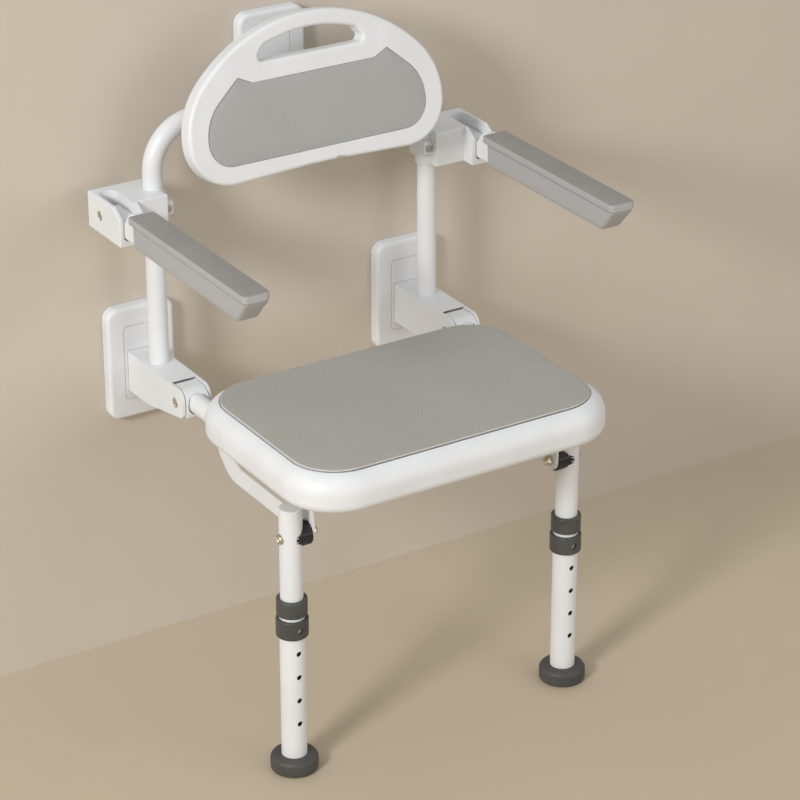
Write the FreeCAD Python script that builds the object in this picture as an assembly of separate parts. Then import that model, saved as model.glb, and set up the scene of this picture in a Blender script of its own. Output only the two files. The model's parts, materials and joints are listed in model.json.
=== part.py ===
import FreeCAD, Part
import math
import os

# Fold down wall seat, in millimetres.
# The wall is the plane Y = 0 and the seat stands out of it towards -Y.
# The floor is the plane Z = 0, and X = 0 is the middle. Each pair is drawn for +X and mirrored.

V = FreeCAD.Vector

# Clearances
body_gap = 0.4
running_gap = 0.05
cover_gap = 0.3

# Tube frame on the wall
upright_x = 200.0
upright_out = 62.0
frame_tube_r = 12.7
frame_tube_wall = 1.5
bar_rise = 104.0
bar_bend_r = 60.0

# Wall plates and their covers
plate_thickness = 4.0
wall_hole_r = 3.5
wall_hole_half_x = 34.0
wall_hole_half_z = 60.0
cover_half_width = 47.5
cover_half_height = 77.0
cover_corner_r = 15.0
cover_depth = 15.0
cover_wall = 2.5
cover_edge_r = 5.0
panel_half_width = 25.5
panel_half_height = 51.0
panel_corner_r = 6.0
seam_width = 0.8
seam_depth = 0.9
low_cover_drop = 17.0
top_cover_rise = 22.0
flange_thickness = 4.0
flange_half_width = 28.0
flange_half_height = 48.0
top_collar_wall = 6.0
top_root_reach = 5.0
top_root_r = 20.0

# Hinge brackets
bracket_half_width = 20.4
bracket_wall = 4.0
bracket_rise = 22.0
bracket_root_drop = 55.0
bracket_belly_r = 150.0
bracket_nose_drop = 36.5
ear_reach = 20.5
ear_top_r = 16.0
ear_low_r = 8.0
hinge_out = 139.5
hinge_drop = 3.0
hinge_pin_r = 5.0
clevis_cut_back = 12.7
pin_head_r = 6.5
pin_head_height = 2.0
counterbore_depth = 1.5
socket_depth = 28.0
socket_wall = 4.0

# Knuckles and the seat frame
knuckle_gap = 1.1
knuckle_rise = 20.3
knuckle_drop = 14.0
knuckle_back = 11.2
knuckle_reach = 24.5
knuckle_nose_r = 18.0
knuckle_crest_r = 1.0
knuckle_chin_r = 3.0
knuckle_heel_r = 6.0
knuckle_mouth_gap = 1.5
knuckle_mouth_depth = 4.0
seat_tube_height = 406.0
seat_tube_start_out = 150.0
seat_tube_end_out = 438.0
cross_tube_r = 10.0
rear_cross_out = 207.0
front_cross_out = 375.0
rail_inner_x = 175.5
rail_thickness = 3.0
rail_height = 24.0
rail_heel_out = 157.0
rail_heel_rise = 40.0
rail_heel_run = 43.0
rail_heel_r = 22.0
rail_knee_r = 40.0
rail_nose = 13.0
rail_nose_r = 12.0
rail_nose_rise = 2.0
rail_eye_half = 16.0
rail_eye_r = 12.0
rail_eye_wall = 6.0
rail_shoulder_drop = 9.0
rail_shoulder_r = 8.0
rail_neck = 28.0
rail_neck_r = 8.0
rail_inner_run = 62.0
rail_inner_r = 30.0
rail_inner_step = 30.0
rail_inner_step_r = 16.0
rail_notch_gap = 1.0

# Seat shell and pad
shell_half_width = 225.0
shell_back_out = 172.0
shell_front_out = 484.0
shell_drop = 21.0
shell_rise = 28.0
shell_corner_r = 72.0
shell_top_r = 26.0
shell_low_r = 12.0
shell_wall = 3.5
shell_lip = 2.0
pad_half_width = 208.0
pad_back_out = 188.0
pad_front_out = 466.0
pad_corner_r = 58.0
pad_recess = 3.0
pad_proud = 2.4
pad_crown = 2.0
pad_edge_r = 2.4
saddle_half_x = 16.0
saddle_half_y = 12.0
saddle_rear_out = 240.0
saddle_front_out = 419.0
seat_screw_r = 2.5
seat_screw_head_r = 5.0
seat_screw_head_height = 2.0
seat_screw_length = 32.0

# Arm brackets
arm_x = 255.2
fork_half_width = 17.2
fork_ear = 5.0
fork_floor = 6.0
fork_corner_r = 8.0
fork_back_r = 11.0
fork_gap = 1.2
fork_ear_r = 4.0
arm_bracket_drop = 23.0
arm_bracket_rise = 23.5
arm_bracket_back_out = 28.0
arm_block_inner_x = 195.4
arm_block_edge_r = 1.5
arm_block_front_out = 91.5
fork_front_out = 112.0
fork_chamfer_start_out = 93.0
fork_chamfer_drop = 11.5
fork_slot_back_out = 41.0
arm_pivot_out = 58.0
arm_pivot_height = 637.0
arm_pin_r = 4.0
arm_pin_head_r = 6.0
arm_pin_bite = 10.0
clamp_ring_wall = 2.6
clamp_ring_drop = 25.0
clamp_ring_rise = 20.0
lug_inner_x = 182.5
lug_half_height = 9.5
lug_front_out = 82.0
lug_back_out = 49.5
lug_corner_r = 4.0
clamp_screw_x = 190.2
clamp_screw_r = 2.5
clamp_screw_length = 7.0
clamp_head_r = 4.5
clamp_head_height = 2.2
clamp_head_edge_r = 1.2

# Armrests
arm_root_bottom_drop = 15.5
arm_root_bottom_r = 8.0
arm_root_eye_r = 8.5
arm_root_neck_rise = 24.0
arm_root_neck_start = 56.0
arm_root_neck_end = 66.0
arm_root_neck_r = 7.0
arm_pad_start_out = 135.0
arm_pad_end_out = 418.0
arm_pad_rise = 26.0
arm_pad_drop = 15.0
arm_pad_lip_height = 9.5
arm_pad_lip_half_width = 17.8
arm_pad_lip_r = 2.0
arm_pad_lip_low_r = 1.0
arm_pad_lip_step = 1.6
arm_pad_rear_r = 3.0
arm_pad_front_r = 6.0
arm_body_setback = 10.0
arm_body_low_half_width = 15.4
arm_body_low_r = 6.0
arm_body_rear_r = 3.0
arm_prow_back = 25.0
arm_prow_r = 9.0
arm_prow_brow = 5.0
arm_prow_brow_back = 3.5
arm_prow_brow_r = 9.0
arm_tongue_half_width = 9.0
arm_tongue_half_height = 10.0
arm_tongue_length = 190.0

# Backrest
back_lean = math.degrees(math.atan(0.2))
back_out = 125.0
back_rise = 9.0
back_depth = 22.0
back_wall = 3.5
back_front_r = 4.5
back_rear_r = 2.0
back_half_width = 182.0
back_shoulder_up = 22.0
back_shoulder_r = 99.0
back_low_drop = 80.0
back_low_r = 57.0
back_peak_up = 208.0
back_peak_r = 214.0
back_belly_drop = 73.0
back_belly_r = 900.0
back_rib_half = 1.2
back_rib_inner_x = 40.0
back_rib_outer_x = 130.0
back_rib_gap = 4.0
back_pad_notch_x = 87.0
back_pad_notch_up = 42.2
back_pad_notch_r = 8.0
back_pad_horn_x = 106.5
back_pad_horn_up = 51.8
back_pad_horn_r = 3.0
back_pad_half_width = 156.0
back_pad_shoulder_up = 8.0
back_pad_shoulder_r = 62.0
back_pad_low_drop = 54.6
back_pad_low_r = 33.0
back_slot_top_x = 66.0
back_slot_top_up = 85.0
back_slot_top_r = 12.0
back_slot_low_x = 80.0
back_slot_low_up = 65.5
back_slot_low_r = 6.0
back_slot_arch_up = 102.6
back_slot_arch_r = 190.0
back_pad_recess = 4.0
back_pad_sink = 0.8
back_pad_crown = 1.4
clip_x = 80.0
clip_half_width = 15.0
clip_ring_wall = 4.0
clip_post_r = 11.0
back_screw_r = 2.5
back_screw_head_r = 4.5
back_screw_head_height = 2.0
back_screw_seat = 13.0
back_screw_end = 35.0

# Legs
leg_x = 201.8
leg_out = 390.0
leg_pivot_drop = 82.0
leg_tube_r = 14.3
leg_tube_wall = 1.5
leg_tube_bottom = 188.0
leg_top_rise = 37.0
plug_cap_height = 2.5
plug_depth = 10.0
leg_bolt_r = 4.0
leg_bolt_head_r = 6.5
leg_bolt_head_height = 3.6
leg_nut_r = 6.5
leg_nut_height = 5.5
leg_nut_shoulder = 1.5
saddle_spacer_r = 15.0
saddle_rib_count = 18
saddle_rib_depth = 1.0
extension_r = 16.0
extension_wall = 1.5
extension_bottom = 6.0
extension_top = 237.0
leg_hole_r = 3.5
leg_button_height = 201.5
leg_hole_pitch = 33.0
leg_hole_count = 5
bush_r = 19.25
bush_bottom = 219.0
bush_top = 241.0
bush_edge_r = 1.5
ring_r = 20.25
ring_bottom = 190.0
ring_top = 214.5
ring_edge_r = 1.5
ring_hole_r = 4.2
foot_r = 30.0
foot_height = 21.0
foot_low_r = 4.0
foot_top_r = 7.0
button_r = 3.2
button_reach = 17.2
spring_width = 8.0
spring_strip = 0.8
spring_rise = 42.0
spring_drop = 9.0
spring_gap = 1.0
spring_bend = 3.0
spring_bow = 6.0
button_edge_r = 0.8

# Values worked out from the sizes above
bar_height = arm_pivot_height + bar_rise
top_cover_height = bar_height + top_cover_rise
hinge_height = seat_tube_height - hinge_drop
bracket_top = hinge_height + bracket_rise
low_cover_height = bracket_top - low_cover_drop
bracket_front_out = hinge_out + ear_reach
clevis_r = math.hypot(clevis_cut_back, bracket_rise)
clevis_half_width = bracket_half_width - bracket_wall
knuckle_half_width = clevis_half_width - knuckle_gap
leg_pivot_height = seat_tube_height - leg_pivot_drop
leg_tube_top = leg_pivot_height + leg_top_rise
rail_outer_x = rail_inner_x + rail_thickness
rail_low = leg_pivot_height - rail_height / 2
rail_high = leg_pivot_height + rail_height / 2
shell_bottom = seat_tube_height - shell_drop
shell_top = seat_tube_height + shell_rise
pad_seat_height = shell_top - pad_recess
pad_edge_height = shell_top + pad_proud
seat_screw_low = seat_tube_height - frame_tube_r
seat_screw_top = seat_screw_low + seat_screw_length
fork_inner_x = arm_x - fork_half_width
fork_outer_x = arm_x + fork_half_width
arm_root_half_width = fork_half_width - fork_ear - fork_gap
arm_bracket_bottom = arm_pivot_height - arm_bracket_drop
arm_bracket_top = arm_pivot_height + arm_bracket_rise
clamp_ring_bottom = arm_pivot_height - clamp_ring_drop
clamp_ring_top = arm_pivot_height + clamp_ring_rise
arm_pin_end_x = fork_inner_x - arm_pin_bite
arm_pad_top = arm_pivot_height + arm_pad_rise
arm_pad_bottom = arm_pivot_height - arm_pad_drop
arm_pad_middle = (arm_pad_bottom + arm_pad_top) / 2
arm_lip_low = arm_pad_top - arm_pad_lip_height
arm_body_start_out = arm_pad_start_out + arm_body_setback
back_height = bar_height + back_rise
back_lean_angle = math.radians(back_lean)
clip_post_up = ((back_out - upright_out) * math.sin(back_lean_angle)
                - back_rise * math.cos(back_lean_angle))


def block(x0, x1, y0, y1, z0, z1):
    return Part.makeBox(x1 - x0, y1 - y0, z1 - z0, V(x0, y0, z0))


def rod(radius, start, end):
    along = end.sub(start)
    return Part.makeCylinder(radius, along.Length, start, along)


def tube(outer_r, inner_r, start, end):
    return rod(outer_r, start, end).cut(rod(inner_r, start, end))


def side_view(x):
    return lambda point: V(x, point.x, point.y)


def front_view(y):
    return lambda point: V(point.x, y, point.y)


def top_view(z):
    return lambda point: V(point.x, point.y, z)


def rounded_wire(corners, place):
    """A closed outline through corners of (across, up, radius), each rounded by its radius."""
    turns = []
    for index, (across, up, radius) in enumerate(corners):
        corner = V(across, up, 0)
        before = V(*corners[index - 1][:2], 0).sub(corner).normalize()
        after = V(*corners[(index + 1) % len(corners)][:2], 0).sub(corner).normalize()
        half_angle = before.getAngle(after) / 2
        reach = radius / math.tan(half_angle)
        inward = before.add(after).normalize()
        middle = corner + inward * (radius / math.sin(half_angle) - radius)
        turns.append((corner + before * reach, middle, corner + after * reach, radius))
    edges = []
    for index, (start, middle, end, radius) in enumerate(turns):
        if radius > 0:
            edges.append(Part.Arc(place(start), place(middle), place(end)).toShape())
        following = turns[(index + 1) % len(turns)][0]
        if end.distanceToPoint(following) > 0.001:
            edges.append(Part.makeLine(place(end), place(following)))
    return Part.Wire(edges)


def prism(corners, place, along):
    return Part.Face(rounded_wire(corners, place)).extrude(along)


def rectangle(u0, u1, v0, v1, radius):
    return [(u0, v0, radius), (u1, v0, radius), (u1, v1, radius), (u0, v1, radius)]


def flipped(half):
    """The mirror image of half an outline, in the opposite order, so that it closes the outline."""
    return [(-across, up, radius) for across, up, radius in reversed(half)]


def drawn_in(corners, inset):
    """The same outline with every side moved inwards, so that it keeps an even rim."""
    points = [V(across, up, 0) for across, up, radius in corners]
    count = len(points)
    area = sum(points[i - 1].x * points[i].y - points[i].x * points[i - 1].y for i in range(count))
    hand = 1 if area > 0 else -1
    moved = []
    for index, point in enumerate(points):
        arriving = point.sub(points[index - 1]).normalize()
        leaving = points[(index + 1) % count].sub(point).normalize()
        first = V(-arriving.y, arriving.x, 0) * hand
        second = V(-leaving.y, leaving.x, 0) * hand
        shift = (first + second) * (inset / (1 + first.dot(second)))
        bulges = (arriving.x * leaving.y - arriving.y * leaving.x) * hand > 0
        radius = corners[index][2] - inset if bulges else corners[index][2] + inset
        moved.append((point.x + shift.x, point.y + shift.y, max(radius, 0)))
    return moved


def round_edges(shape, radius, wanted):
    return shape.makeFillet(radius, [edge for edge in shape.Edges if wanted(edge)])


def edges_at_y(y):
    return lambda edge: edge.BoundBox.YLength < 0.01 and abs(edge.BoundBox.YMin - y) < 0.01


def edges_at_z(z):
    return lambda edge: edge.BoundBox.ZLength < 0.01 and abs(edge.BoundBox.ZMin - z) < 0.01


def mirror(shape):
    return shape.mirror(V(0, 0, 0), V(1, 0, 0))


def crown(centre_x, centre_y, top, reach, rise):
    """A ball so large that its top falls by the rise at the reach from its centre."""
    radius = (reach * reach + rise * rise) / (2 * rise)
    return Part.makeSphere(radius, V(centre_x, centre_y, top - radius))


def wall_plate(centre_x, centre_z):
    half_width = cover_half_width - cover_wall - cover_gap
    half_height = cover_half_height - cover_wall - cover_gap
    outline = rectangle(
        centre_x - half_width, centre_x + half_width,
        centre_z - half_height, centre_z + half_height, cover_corner_r - cover_wall)
    plate = prism(outline, front_view(-plate_thickness), V(0, plate_thickness, 0))
    for x in (centre_x - wall_hole_half_x, centre_x + wall_hole_half_x):
        for z in (centre_z - wall_hole_half_z, centre_z + wall_hole_half_z):
            plate = plate.cut(rod(wall_hole_r, V(x, -plate_thickness - 1, z), V(x, 1, z)))
    return plate


def wall_cover(centre_x, centre_z, open_low, open_high):
    """Hollow cover with a soft edge, a seam around its inner panel and an opening for the arm."""
    def outline(half_width, half_height, radius):
        return rectangle(
            centre_x - half_width, centre_x + half_width,
            centre_z - half_height, centre_z + half_height, radius)
    cover = prism(
        outline(cover_half_width, cover_half_height, cover_corner_r),
        front_view(-cover_depth), V(0, cover_depth, 0))
    cover = round_edges(cover, cover_edge_r, edges_at_y(-cover_depth))
    hollow = prism(
        outline(cover_half_width - cover_wall, cover_half_height - cover_wall,
                cover_corner_r - cover_wall),
        front_view(-cover_depth + cover_wall), V(0, cover_depth, 0))
    hollow = round_edges(hollow, cover_edge_r - cover_wall, edges_at_y(-cover_depth + cover_wall))
    seam = prism(
        outline(panel_half_width, panel_half_height, panel_corner_r),
        front_view(-cover_depth - 1), V(0, 1 + seam_depth, 0))
    island = prism(
        outline(panel_half_width - seam_width, panel_half_height - seam_width,
                panel_corner_r - seam_width),
        front_view(-cover_depth - 1), V(0, 1 + seam_depth, 0))
    opening = block(
        centre_x - bracket_half_width - cover_gap, centre_x + bracket_half_width + cover_gap,
        -cover_depth - 1, 0, open_low - cover_gap, open_high + cover_gap)
    return cover.cut(hollow).cut(seam.cut(island)).cut(opening)


def wall_flange(centre_x, centre_z):
    outline = rectangle(
        centre_x - flange_half_width, centre_x + flange_half_width,
        centre_z - flange_half_height, centre_z + flange_half_height, panel_corner_r)
    back = -plate_thickness
    return prism(outline, front_view(back - flange_thickness), V(0, flange_thickness, 0))


def hinge_bracket():
    """Tapered cast arm: hollow below, a socket for the upright, two ears round the knuckle."""
    left = upright_x - bracket_half_width
    root = -plate_thickness
    root_low = bracket_top - bracket_root_drop
    profile = [
        (root, bracket_top, 0),
        (-bracket_front_out, bracket_top, ear_top_r),
        (-bracket_front_out, bracket_top - bracket_nose_drop, ear_low_r),
        (-upright_out, root_low, bracket_belly_r),
        (root, root_low, 0),
    ]
    arm = prism(profile, side_view(left), V(2 * bracket_half_width, 0, 0))
    arm = arm.fuse(wall_flange(upright_x, low_cover_height))
    inner_left = upright_x - clevis_half_width
    inner_right = upright_x + clevis_half_width
    hollow_front = -hinge_out + clevis_r + bracket_wall
    hollow_back = -plate_thickness - flange_thickness - bracket_wall
    arm = arm.cut(block(
        inner_left, inner_right, hollow_front, hollow_back,
        root_low - 1, bracket_top - bracket_wall))
    boss_low = bracket_top - socket_depth - socket_wall
    boss = rod(frame_tube_r + socket_wall, V(upright_x, -upright_out, boss_low),
               V(upright_x, -upright_out, bracket_top))
    boss = boss.common(block(left, left + 2 * bracket_half_width, -hinge_out, 0, 0, bracket_top))
    arm = arm.fuse(boss)
    arm = arm.cut(rod(frame_tube_r, V(upright_x, -upright_out, bracket_top - socket_depth),
                      V(upright_x, -upright_out, bracket_top + 1)))
    arm = arm.cut(block(
        inner_left, inner_right, -bracket_front_out - 1, -hinge_out + clevis_cut_back,
        root_low, bracket_top + 1))
    arm = arm.cut(rod(clevis_r, V(inner_left, -hinge_out, hinge_height),
                      V(inner_right, -hinge_out, hinge_height)))
    right = left + 2 * bracket_half_width
    arm = arm.cut(rod(hinge_pin_r, V(left - 1, -hinge_out, hinge_height),
                      V(right + 1, -hinge_out, hinge_height)))
    for face, inward in ((left, 1), (right, -1)):
        arm = arm.cut(rod(pin_head_r + cover_gap, V(face - inward, -hinge_out, hinge_height),
                          V(face + inward * counterbore_depth, -hinge_out, hinge_height)))
    return arm.removeSplitter()


def hinge_pin():
    """Pin with a screw head on each end, seated in the two counterbores."""
    left = upright_x - bracket_half_width + counterbore_depth
    right = upright_x + bracket_half_width - counterbore_depth
    pin = rod(hinge_pin_r, V(left, -hinge_out, hinge_height), V(right, -hinge_out, hinge_height))
    for face, outward in ((left, -1), (right, 1)):
        head = rod(pin_head_r, V(face, -hinge_out, hinge_height),
                   V(face + outward * pin_head_height, -hinge_out, hinge_height))
        pin = pin.fuse(head)
    return pin.removeSplitter()


def knuckle():
    """Block that turns between the ears and holds the seat tube in its mouth."""
    profile = [
        (-hinge_out + knuckle_back, hinge_height + knuckle_rise, knuckle_crest_r),
        (-hinge_out - knuckle_reach, hinge_height + knuckle_rise, knuckle_nose_r),
        (-hinge_out - knuckle_reach, hinge_height - knuckle_drop, knuckle_chin_r),
        (-hinge_out + knuckle_back, hinge_height - knuckle_drop, knuckle_heel_r),
    ]
    body = prism(profile, side_view(upright_x - knuckle_half_width),
                 V(2 * knuckle_half_width, 0, 0))
    front = -hinge_out - knuckle_reach
    body = body.cut(rod(frame_tube_r, V(upright_x, front - 1, seat_tube_height),
                        V(upright_x, -seat_tube_start_out, seat_tube_height)))
    body = body.cut(rod(frame_tube_r + knuckle_mouth_gap, V(upright_x, front - 1, seat_tube_height),
                        V(upright_x, front + knuckle_mouth_depth, seat_tube_height)))
    return body.cut(rod(hinge_pin_r + running_gap,
                        V(upright_x - bracket_half_width, -hinge_out, hinge_height),
                        V(upright_x + bracket_half_width, -hinge_out, hinge_height)))


def frame_path():
    """Middle line of the bent frame: up one side, across behind the backrest, down the other."""
    foot = bracket_top - socket_depth
    bend = bar_height - bar_bend_r
    lean = bar_bend_r * math.sin(math.pi / 4)
    y = -upright_out

    def corner(side):
        return Part.Arc(
            V(side * upright_x, y, bend),
            V(side * (upright_x - bar_bend_r + lean), y, bend + lean),
            V(side * (upright_x - bar_bend_r), y, bar_height)).toShape()
    return Part.Wire([
        Part.makeLine(V(-upright_x, y, foot), V(-upright_x, y, bend)),
        corner(-1),
        Part.makeLine(V(-upright_x + bar_bend_r, y, bar_height),
                      V(upright_x - bar_bend_r, y, bar_height)),
        corner(1),
        Part.makeLine(V(upright_x, y, bend), V(upright_x, y, foot)),
    ])


def u_frame():
    start = V(-upright_x, -upright_out, bracket_top - socket_depth)

    def swept(radius):
        circle = Part.Wire([Part.makeCircle(radius, start, V(0, 0, 1))])
        return frame_path().makePipe(Part.Face(circle))
    return swept(frame_tube_r).cut(swept(frame_tube_r - frame_tube_wall))


def top_bracket():
    """Arm from the top wall plate with a collar round the bar."""
    collar_r = frame_tube_r + top_collar_wall
    root_high = bar_height + bracket_root_drop / 2
    root_low = bar_height - bracket_root_drop / 2
    profile = [
        (-plate_thickness, root_high, 0),
        (-cover_depth - top_root_reach, root_high, top_root_r),
        (-upright_out, bar_height + collar_r, 0),
        (-upright_out, bar_height - collar_r, 0),
        (-cover_depth - top_root_reach, root_low, top_root_r),
        (-plate_thickness, root_low, 0),
    ]
    arm = prism(profile, side_view(-bracket_half_width), V(2 * bracket_half_width, 0, 0))
    arm = arm.fuse(rod(collar_r, V(-bracket_half_width, -upright_out, bar_height),
                       V(bracket_half_width, -upright_out, bar_height)))
    arm = arm.fuse(wall_flange(0, top_cover_height))
    arm = arm.cut(rod(frame_tube_r, V(-bracket_half_width - 1, -upright_out, bar_height),
                      V(bracket_half_width + 1, -upright_out, bar_height)))
    return arm.removeSplitter()


def arm_bracket():
    """Cast block with a ring round the upright, a lug for the lock screw and an armrest fork."""
    body = block(arm_block_inner_x, fork_inner_x + fork_ear,
                 -arm_block_front_out, -arm_bracket_back_out, arm_bracket_bottom, arm_bracket_top)
    fork_profile = [
        (-arm_bracket_back_out, arm_bracket_bottom, 0),
        (-arm_bracket_back_out, arm_bracket_top, 0),
        (-fork_chamfer_start_out, arm_bracket_top, fork_ear_r),
        (-fork_front_out, arm_bracket_top - fork_chamfer_drop, fork_ear_r),
        (-fork_front_out, arm_bracket_bottom, 0),
    ]
    fork = prism(fork_profile, side_view(fork_inner_x), V(2 * fork_half_width, 0, 0))
    ring = rod(frame_tube_r + clamp_ring_wall, V(upright_x, -upright_out, clamp_ring_bottom),
               V(upright_x, -upright_out, clamp_ring_top))
    lug = prism(
        rectangle(-lug_front_out, -lug_back_out, arm_pivot_height - lug_half_height,
                  arm_pivot_height + lug_half_height, lug_corner_r),
        side_view(lug_inner_x), V(upright_x - lug_inner_x, 0, 0))
    body = body.fuse(fork).removeSplitter()
    body = round_edges(body, arm_block_edge_r, arm_block_rim)
    body = body.fuse([ring, lug]).cut(fork_slot())
    body = body.cut(rod(frame_tube_r, V(upright_x, -upright_out, 0),
                        V(upright_x, -upright_out, bar_height)))
    body = body.cut(rod(arm_pin_r, V(arm_pin_end_x, -arm_pivot_out, arm_pivot_height),
                        V(fork_outer_x + 1, -arm_pivot_out, arm_pivot_height)))
    body = body.cut(rod(arm_pin_head_r + cover_gap,
                        V(fork_outer_x - counterbore_depth, -arm_pivot_out, arm_pivot_height),
                        V(fork_outer_x + 1, -arm_pivot_out, arm_pivot_height)))
    front = V(clamp_screw_x, -lug_front_out, arm_pivot_height)
    body = body.cut(rod(clamp_screw_r, front, front.add(V(0, clamp_screw_length, 0))))
    return body.removeSplitter()


def arm_block_rim(edge):
    """The long edges round the top of the block and of the fork."""
    box = edge.BoundBox
    return edges_at_z(arm_bracket_top)(edge) and box.XLength + box.YLength > fork_ear


def fork_slot():
    """Room for the armrest's root: round in the corners of its floor and round at its back."""
    profile = [
        (fork_inner_x + fork_ear, arm_bracket_top + 1, 0),
        (fork_inner_x + fork_ear, arm_bracket_bottom + fork_floor, fork_corner_r),
        (fork_outer_x - fork_ear, arm_bracket_bottom + fork_floor, fork_corner_r),
        (fork_outer_x - fork_ear, arm_bracket_top + 1, 0),
    ]
    slot = prism(profile, front_view(-fork_front_out - 1),
                 V(0, fork_front_out + 1 - fork_slot_back_out, 0))
    plan = rectangle(fork_inner_x + fork_ear, fork_outer_x - fork_ear,
                     -fork_front_out - 2, -fork_slot_back_out, fork_back_r)
    plan = [(x, y, radius if y > -fork_front_out else 0) for x, y, radius in plan]
    height = arm_bracket_top + 1 - arm_bracket_bottom
    return slot.common(prism(plan, top_view(arm_bracket_bottom), V(0, 0, height)))


def arm_pivot():
    """Pivot pin through both fork ears, with its head in the outer ear."""
    start = V(arm_pin_end_x, -arm_pivot_out, arm_pivot_height)
    seat = fork_outer_x - counterbore_depth
    pin = rod(arm_pin_r, start, V(seat, -arm_pivot_out, arm_pivot_height))
    head = rod(arm_pin_head_r, V(seat, -arm_pivot_out, arm_pivot_height),
               V(seat + pin_head_height, -arm_pivot_out, arm_pivot_height))
    return pin.fuse(head).removeSplitter()


def clamp_screw():
    """Screw in the lug's front face that locks the bracket on the upright."""
    front = V(clamp_screw_x, -lug_front_out, arm_pivot_height)
    shaft = rod(clamp_screw_r, front, front.add(V(0, clamp_screw_length, 0)))
    head = rod(clamp_head_r, front.sub(V(0, clamp_head_height, 0)), front)
    head = round_edges(head, clamp_head_edge_r, edges_at_y(front.y - clamp_head_height))
    return shaft.fuse(head).removeSplitter()


def arm_core():
    """Root block with a rounded eye in the fork, and a tongue that carries the pad."""
    y = -arm_pivot_out
    z = arm_pivot_height
    low = z - arm_root_bottom_drop
    eye = arm_root_eye_r
    eye_corner_r = eye - cover_gap
    front = -arm_body_start_out
    profile = [
        (front, low, 0),
        (y - 2 * eye, low, arm_root_bottom_r),
        (y - eye, z - eye, arm_root_bottom_r),
        (y + eye, z - eye, eye_corner_r),
        (y + eye, z + eye, eye_corner_r),
        (y - arm_root_neck_start, z + eye, arm_root_neck_r),
        (y - arm_root_neck_end, z + arm_root_neck_rise, arm_root_neck_r),
        (-arm_pad_start_out, z + arm_root_neck_rise, 0),
        (-arm_pad_start_out, arm_lip_low, 0),
        (front, arm_lip_low, 0),
    ]
    left = arm_x - arm_root_half_width
    root = prism(profile, side_view(left), V(2 * arm_root_half_width, 0, 0))
    section = rectangle(left, left + 2 * arm_root_half_width, low, z + arm_root_neck_rise,
                        fork_corner_r - fork_gap)
    rounded = prism(section, front_view(front - 1), V(0, arm_body_start_out + 1, 0))
    core = root.common(rounded).fuse(arm_tongue(arm_tongue_length))
    core = core.cut(rod(arm_pin_r + running_gap, V(fork_inner_x, y, z), V(fork_outer_x, y, z)))
    return core.removeSplitter()


def arm_tongue(length):
    """The bar inside the pad, from the front of the armrest's root."""
    front = -arm_body_start_out
    return block(arm_x - arm_tongue_half_width, arm_x + arm_tongue_half_width, front - length, front,
                 arm_pad_middle - arm_tongue_half_height, arm_pad_middle + arm_tongue_half_height)


def arm_pad():
    """Moulded armrest: a lipped top over a boat shaped body with a raked, hollow prow."""
    start = -arm_pad_start_out
    end = -arm_pad_end_out
    body_half = arm_pad_lip_half_width - arm_pad_lip_step
    lip_section = [
        (arm_x + arm_pad_lip_half_width, arm_pad_top, arm_pad_lip_r),
        (arm_x + arm_pad_lip_half_width, arm_lip_low, arm_pad_lip_low_r),
        (arm_x - arm_pad_lip_half_width, arm_lip_low, arm_pad_lip_low_r),
        (arm_x - arm_pad_lip_half_width, arm_pad_top, arm_pad_lip_r),
    ]
    lip = prism(lip_section, front_view(start), V(0, end - start, 0))
    plan = [
        (arm_x - arm_pad_lip_half_width, start, arm_pad_rear_r),
        (arm_x + arm_pad_lip_half_width, start, arm_pad_rear_r),
        (arm_x + arm_pad_lip_half_width, end, arm_pad_front_r),
        (arm_x - arm_pad_lip_half_width, end, arm_pad_front_r),
    ]
    lip = lip.common(prism(plan, top_view(arm_lip_low), V(0, 0, arm_pad_lip_height)))
    body_section = [
        (arm_x + body_half, arm_lip_low + 1, 0),
        (arm_x + arm_body_low_half_width, arm_pad_bottom, arm_body_low_r),
        (arm_x - arm_body_low_half_width, arm_pad_bottom, arm_body_low_r),
        (arm_x - body_half, arm_lip_low + 1, 0),
    ]
    body_start = -arm_body_start_out
    body = prism(body_section, front_view(body_start), V(0, end - body_start, 0))
    keel = [
        (body_start, arm_lip_low + 1, 0),
        (body_start, arm_pad_bottom, arm_body_rear_r),
        (end + arm_prow_back, arm_pad_bottom, arm_prow_r),
        (end + arm_prow_brow_back, arm_lip_low - arm_prow_brow, arm_prow_brow_r),
        (end + arm_pad_lip_step, arm_lip_low + 1, 0),
    ]
    body = body.common(prism(keel, side_view(arm_x - body_half), V(2 * body_half, 0, 0)))
    return lip.fuse(body).cut(arm_tongue(arm_tongue_length)).removeSplitter()


def back_corners(inset=0):
    """Outline of the backrest shell: a wide arch over two round lower corners and a slack belly."""
    half = [
        (back_half_width, back_shoulder_up, back_shoulder_r),
        (back_half_width, -back_low_drop, back_low_r),
    ]
    peak = [(0, back_peak_up, back_peak_r)]
    belly = [(0, -back_belly_drop, back_belly_r)]
    return drawn_in(peak + half + belly + flipped(half), inset)


def back_pad_corners(inset=0):
    half = [
        (back_pad_notch_x, back_pad_notch_up, back_pad_notch_r),
        (back_pad_horn_x, back_pad_horn_up, back_pad_horn_r),
        (back_pad_half_width, back_pad_shoulder_up, back_pad_shoulder_r),
        (back_pad_half_width, -back_pad_low_drop, back_pad_low_r),
    ]
    return drawn_in(half + flipped(half), inset)


def back_slot_corners(inset=0):
    half = [
        (back_slot_top_x, back_slot_top_up, back_slot_top_r),
        (back_slot_low_x, back_slot_low_up, back_slot_low_r),
    ]
    return drawn_in([(0, back_slot_arch_up, back_slot_arch_r)] + half + flipped(half), inset)


def lean_back(shape):
    """Carries a shape drawn with its front on Y = 0 to its leaning place in front of the bar."""
    leaning = shape.copy()
    leaning.rotate(V(0, 0, 0), V(1, 0, 0), -back_lean)
    leaning.translate(V(0, -back_out, back_height))
    return leaning


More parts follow.
